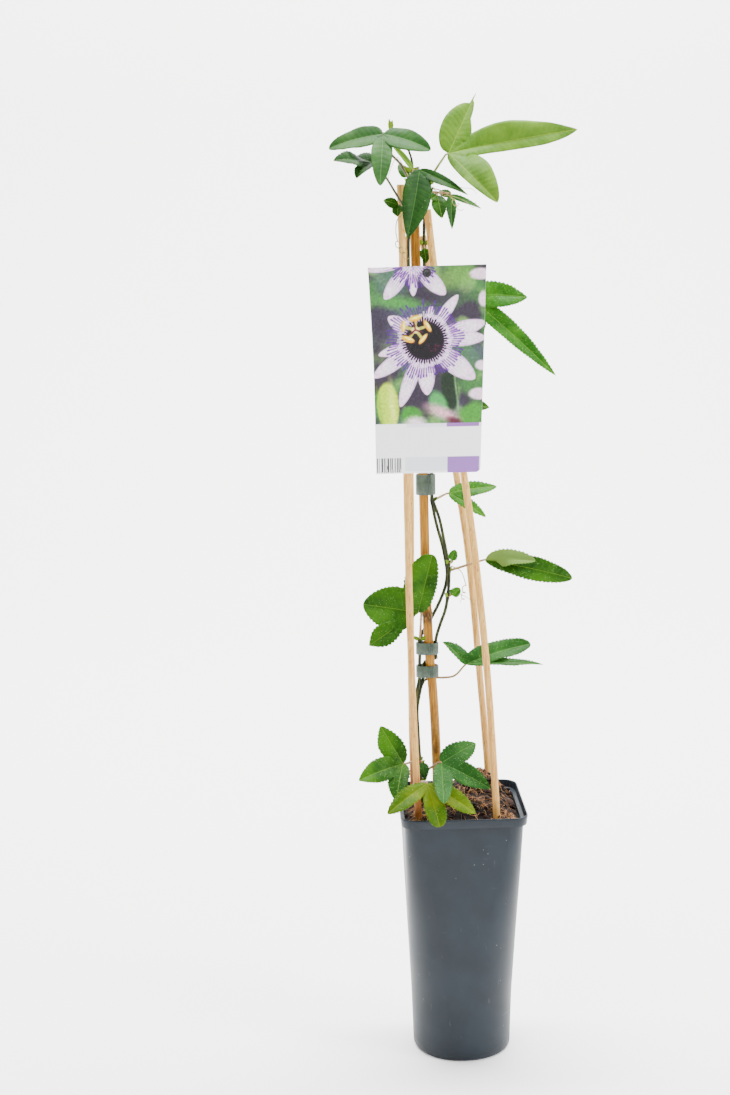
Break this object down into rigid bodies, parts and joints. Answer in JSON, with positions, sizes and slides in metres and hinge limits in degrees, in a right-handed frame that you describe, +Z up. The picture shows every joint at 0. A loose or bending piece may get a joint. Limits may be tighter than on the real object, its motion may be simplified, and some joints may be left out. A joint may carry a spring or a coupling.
{
  "type": "potted passion flower climber",
  "caption": "Young passion flower climber in a square-topped nursery pot, trained up canes, with a hanging picture label.",
  "frame": {"origin": "centre of the pot's base, on the surface it stands on", "axes": "+Z up; -Y towards the label's printed side, the front; +X to the right as seen from the front"},
  "size_m": [0.2023, 0.1226, 0.8142],
  "materials": {
    "pot_plastic": "satin moulded anthracite blue-grey",
    "substrate": "rough bark and coir",
    "cane_wood": "pale straw, fine lengthwise grain",
    "bamboo": "orange-brown bamboo with a dark node",
    "clip_plastic": "grey-green soft plastic",
    "printed_card": null,
    "tie_plastic": "black plastic",
    "stem": "smooth dark olive stem",
    "tendril": "thin yellow-green tendril",
    "leaf": "smooth leaf, paler veins and speckles"
  },
  "bodies": {
    "root": {"cane_back_left": "cane_wood", "cane_back_right": "cane_wood", "cane_bamboo": "bamboo", "cane_front_left": "cane_wood", "cane_front_right": "cane_wood", "clip_high": "clip_plastic", "clip_low": "clip_plastic", "clip_middle": "clip_plastic", "label": "printed_card", "label_tie": "tie_plastic", "leaf_back_high": "leaf", "leaf_back_low": "leaf", "leaf_back_middle": "leaf", "leaf_behind_label": "leaf", "leaf_low_front": "leaf", "leaf_low_left": "leaf", "leaf_low_right": "leaf", "leaf_low_small": "leaf", "leaf_lower_right": "leaf", "leaf_middle_left": "leaf", "leaf_middle_right": "leaf", "leaf_top_back": "leaf", "leaf_top_blue": "leaf", "leaf_top_hanging": "leaf", "leaf_top_left": "leaf", "leaf_top_left_under": "leaf", "leaf_top_narrow": "leaf", "leaf_top_right": "leaf", "leaf_top_small_left": "leaf", "leaf_top_small_right": "leaf", "leaf_under_label": "leaf", "leaf_upper_right": "leaf", "leaflet_bow_high": "leaf", "leaflet_bow_low": "leaf", "leaflet_stem": "leaf", "pot": "pot_plastic", "stem_a": "stem", "stem_b": "stem", "substrate": "substrate", "tendril_cane": "tendril", "tendril_middle": "tendril", "tendril_top": "tendril"}
  },
  "joints": []
}
